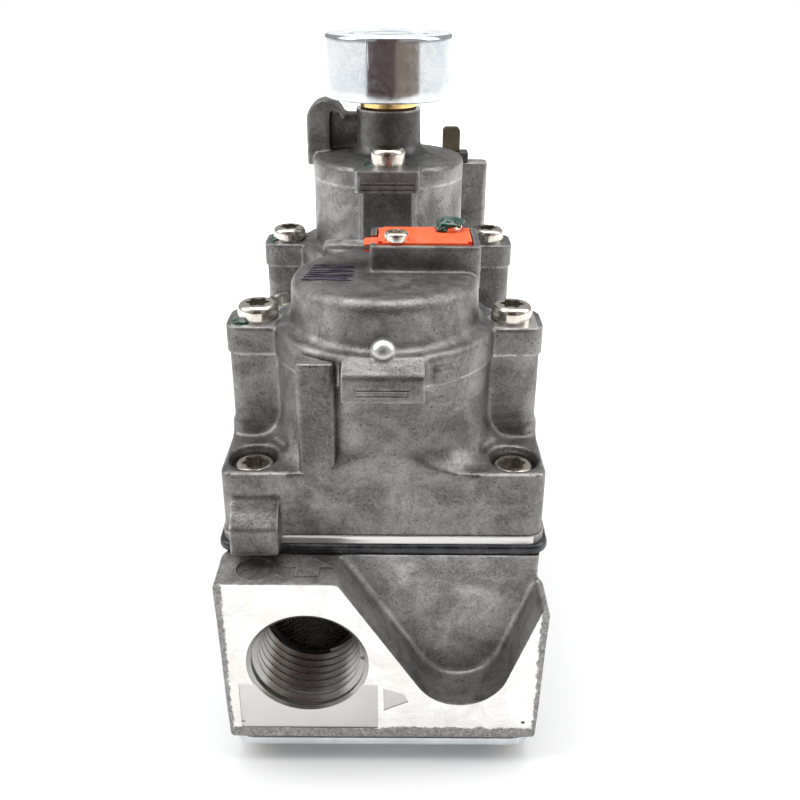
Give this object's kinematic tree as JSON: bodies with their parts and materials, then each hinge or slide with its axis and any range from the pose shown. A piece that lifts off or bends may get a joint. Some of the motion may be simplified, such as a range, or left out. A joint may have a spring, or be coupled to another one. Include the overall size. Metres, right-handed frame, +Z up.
{
  "type": "gas control valve",
  "caption": "Gas control valve with two stacked die-cast bodies, side-offset threaded end ports, a shut-off solenoid and a modulating regulator under a round screw cap.",
  "frame": {"origin": "centre of the footprint, on the surface that the round pads of the bottom plate rest on", "axes": "+Z up along the two valve units; -Y is the inlet end, +Y the outlet end, which is the way the gas flows; +X is to the right seen from the inlet end, and both ports lie on the -X side"},
  "size_m": [0.0604, 0.116, 0.1252],
  "materials": {
    "cast_aluminium": "mottled grey die casting with darker stains, bright machined faces and rubbed edges",
    "plated_steel": "zinc-plated pressed steel, bluish white, lightly scratched",
    "nickel_screw": "nickel-plated machine screws, some with dried green locking lacquer",
    "brass": "turned brass",
    "black_rubber": "moulded black nitrile rubber",
    "orange_plastic": "orange-red moulded insulator, satin",
    "black_plastic": "black glass-filled plastic",
    "copper_wire": "enamelled copper wire winding",
    "soft_steel": "soft magnetic steel, turned",
    "wire_mesh": "fine woven wire strainer, dark",
    "fibre": "thin vulcanised fibre washer"
  },
  "bodies": {
    "valve_body": {"lower_body": "cast_aluminium", "bottom_plate": "plated_steel", "bottom_gasket": "black_rubber", "bottom_screw_1": "nickel_screw", "bottom_screw_2": "nickel_screw", "bottom_screw_3": "nickel_screw", "bottom_screw_4": "nickel_screw", "inlet_strainer": "wire_mesh", "main_gasket": "black_rubber", "upper_body": "cast_aluminium", "flange_screw_1": "nickel_screw", "flange_screw_2": "nickel_screw", "flange_screw_3": "nickel_screw", "flange_screw_4": "nickel_screw", "test_port_plug": "nickel_screw", "front_cover": "cast_aluminium", "front_cover_seal": "black_rubber", "front_coil_bobbin": "black_plastic", "front_coil_winding": "copper_wire", "front_coil_yoke": "soft_steel", "front_guide_tube": "brass", "front_pole_piece": "soft_steel", "plunger_spring": "plated_steel", "terminal_block": "orange_plastic", "blade_terminal": "plated_steel", "terminal_screw_1": "nickel_screw", "terminal_screw_2": "nickel_screw", "diaphragm": "black_rubber", "regulator_housing": "cast_aluminium", "regulator_lid": "cast_aluminium", "lid_screw_front": "nickel_screw", "lid_screw_rear": "nickel_screw", "cover_screw_front_left": "nickel_screw", "cover_screw_front_right": "nickel_screw", "cover_screw_rear_left": "nickel_screw", "cover_screw_rear_right": "nickel_screw", "rear_coil_bobbin": "black_plastic", "rear_coil_winding": "copper_wire", "rear_coil_yoke": "soft_steel", "bias_spring": "plated_steel", "rear_terminal_holder": "black_plastic", "rear_blade_1": "plated_steel", "rear_blade_2": "plated_steel"},
    "shutoff_plunger": {"plunger": "soft_steel", "shutoff_disc": "soft_steel", "shutoff_seal": "black_rubber"},
    "regulator_armature": {"armature": "soft_steel", "diaphragm_plate": "soft_steel", "regulator_disc": "soft_steel", "regulator_seal": "black_rubber"},
    "spring_seat": {"spring_seat": "brass"},
    "adjusting_screw": {"adjusting_screw": "brass"},
    "cap_seal": {"cap_seal": "fibre"},
    "cap_insert": {"cap_insert": "brass"},
    "regulator_cap": {"regulator_cap": "plated_steel"}
  },
  "joints": [
    {"name": "plunger_lift", "type": "slide", "parent": "valve_body", "child": "shutoff_plunger", "axis": [0, 0, 1], "range_m": [0, 0.0022], "stiffness_N_per_m": 120, "springref_m": -0.004, "deforming": ["plunger_spring"]},
    {"name": "armature_lift", "type": "slide", "parent": "valve_body", "child": "regulator_armature", "axis": [0, 0, 1], "range_m": [0, 0.0018], "stiffness_N_per_m": 90, "springref_m": -0.004, "deforming": ["bias_spring", "diaphragm"]},
    {"name": "seat_travel", "type": "slide", "parent": "valve_body", "child": "spring_seat", "axis": [0, 0, 1], "range_m": [-0.002, 0.001], "deforming": ["bias_spring"]},
    {"name": "adjuster_turn", "type": "hinge", "parent": "spring_seat", "child": "adjusting_screw", "pos_m": [0, 0.025, 0.105], "axis": [0, 0, 1], "range_deg": [-720, 360]},
    {"name": "cap_lift", "type": "slide", "parent": "valve_body", "child": "cap_seal", "axis": [0, 0, 1], "range_m": [0, 0.02]},
    {"name": "cap_rise", "type": "slide", "parent": "cap_seal", "child": "cap_insert", "axis": [0, 0, 1], "range_m": [0, 0.003]},
    {"name": "cap_turn", "type": "hinge", "parent": "cap_insert", "child": "regulator_cap", "pos_m": [0, 0.025, 0.118], "axis": [0, 0, 1], "range_deg": [0, 1080]}
  ],
  "couplings": [
    {"joint": "adjuster_turn", "follows": "seat_travel", "rad_per_m": 6283},
    {"joint": "cap_rise", "follows": "cap_turn", "m_per_rad": 0.000159}
  ]
}
